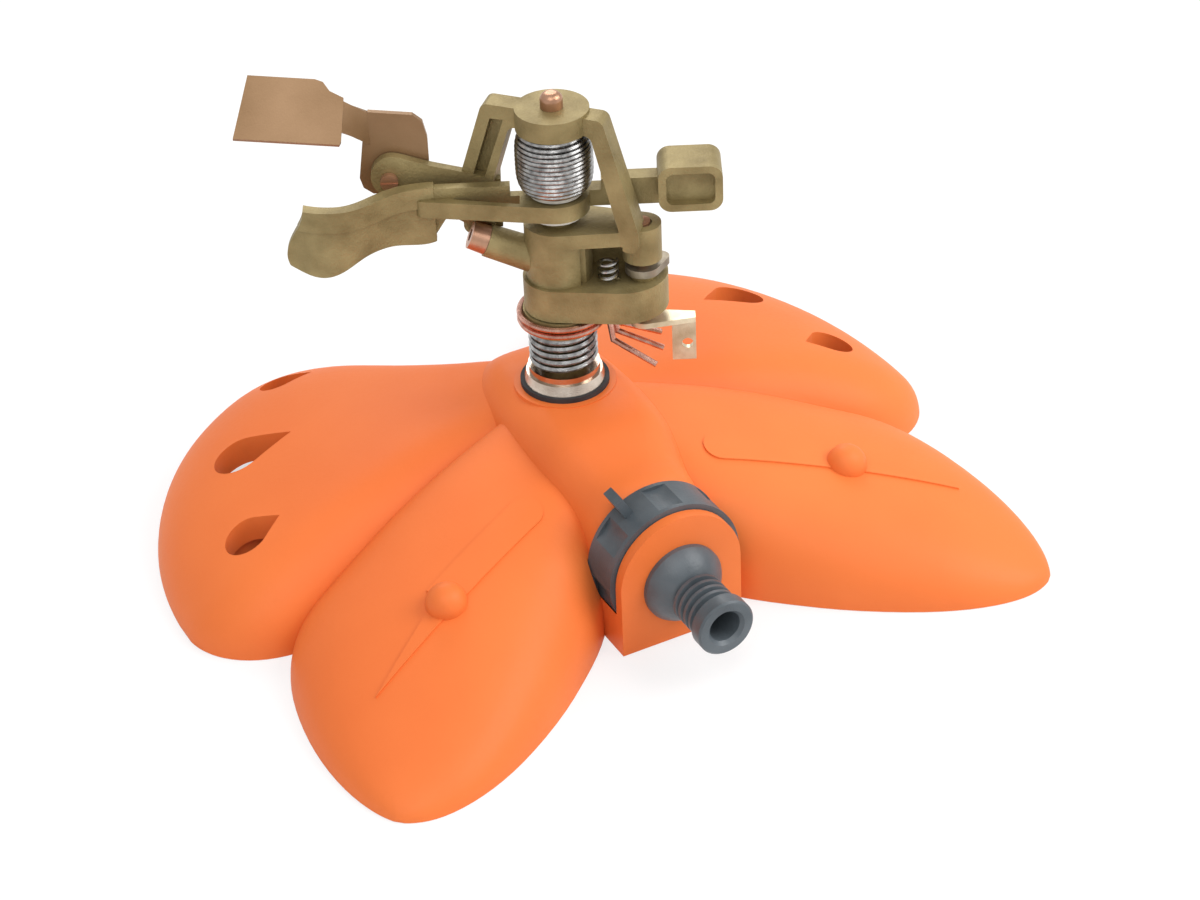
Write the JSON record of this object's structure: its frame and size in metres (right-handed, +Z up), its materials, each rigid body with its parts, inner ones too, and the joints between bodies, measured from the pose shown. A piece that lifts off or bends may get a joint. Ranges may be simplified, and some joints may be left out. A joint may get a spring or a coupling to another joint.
{
  "type": "impulse sprinkler",
  "caption": "Impulse sprinkler: hollow moulded butterfly-shaped base with a side hose inlet and a turning cast head with a swing arm, nozzle, range flap and trip lever.",
  "frame": {"origin": "on the ground plane under the axis that the head turns about", "axes": "+Z up along the head's axis; -Y is the way the hose inlet faces; X across the wings"},
  "size_m": [0.2226, 0.1827, 0.1351],
  "materials": {
    "orange_plastic": "satin moulded, orange",
    "grey_plastic": "moulded, dark blue grey",
    "black_rubber": "matt",
    "cast_bronze": "tumbled casting, olive brass",
    "copper_metal": "turned, copper tone",
    "flap_metal": "stamped sheet, tan copper tone",
    "spring_steel": "bright drawn wire",
    "lever_steel": "stamped, dull",
    "pale_plastic": "moulded bearing plastic"
  },
  "bodies": {
    "base": {"base_shell": "orange_plastic", "hose_nipple": "grey_plastic", "nipple_seal": "black_rubber", "hub_gasket": "black_rubber", "bearing_nut": "cast_bronze", "bearing_spring": "spring_steel", "collar_sleeve": "cast_bronze"},
    "ring": {"lock_ring": "grey_plastic"},
    "collar_up": {"stop_collar_upper": "spring_steel"},
    "collar_low": {"stop_collar_lower": "spring_steel"},
    "head": {"bearing_tube": "cast_bronze", "bearing_washers": "pale_plastic", "head_casting": "cast_bronze", "nozzle_tip": "copper_metal", "fulcrum_pin": "copper_metal", "arm_washers": "pale_plastic", "flap_screw": "copper_metal", "flap_nut": "copper_metal", "trip_spring": "spring_steel", "arm_spring": "spring_steel"},
    "arm": {"swing_arm": "cast_bronze", "arm_bush": "pale_plastic"},
    "flap": {"range_flap": "flap_metal"},
    "trip": {"trip_cam": "lever_steel", "trip_foot": "lever_steel", "trip_pin": "copper_metal"}
  },
  "joints": [
    {"name": "head_turn", "type": "hinge", "parent": "base", "child": "head", "pos_m": [0, 0, 0.06], "axis": [0, 0, 1], "continuous": true},
    {"name": "arm_swing", "type": "hinge", "parent": "head", "child": "arm", "pos_m": [0, 0, 0.1], "axis": [0, 0, 1], "range_deg": [0, 95], "stiffness_Nm_per_rad": 0.02, "springref_deg": -11.46, "deforming": ["arm_spring"]},
    {"name": "flap_tilt", "type": "hinge", "parent": "head", "child": "flap", "pos_m": [-0.03474, 0.02499, 0.105], "axis": [0.454, 0.891, 0], "range_deg": [-15, 20]},
    {"name": "trip_swing", "type": "hinge", "parent": "head", "child": "trip", "pos_m": [0.01779, -0.01243, 0.084], "axis": [0, 0, 1], "range_deg": [-12, 12]},
    {"name": "upper_collar_turn", "type": "hinge", "parent": "base", "child": "collar_up", "pos_m": [0, 0, 0.066], "axis": [0, 0, 1], "range_deg": [-60, 60]},
    {"name": "lower_collar_turn", "type": "hinge", "parent": "base", "child": "collar_low", "pos_m": [0, 0, 0.064], "axis": [0, 0, 1], "range_deg": [-60, 60]},
    {"name": "ring_turn", "type": "hinge", "parent": "base", "child": "ring", "pos_m": [0, -0.052, 0.0195], "axis": [0, 1, 0], "range_deg": [-30, 100]}
  ]
}
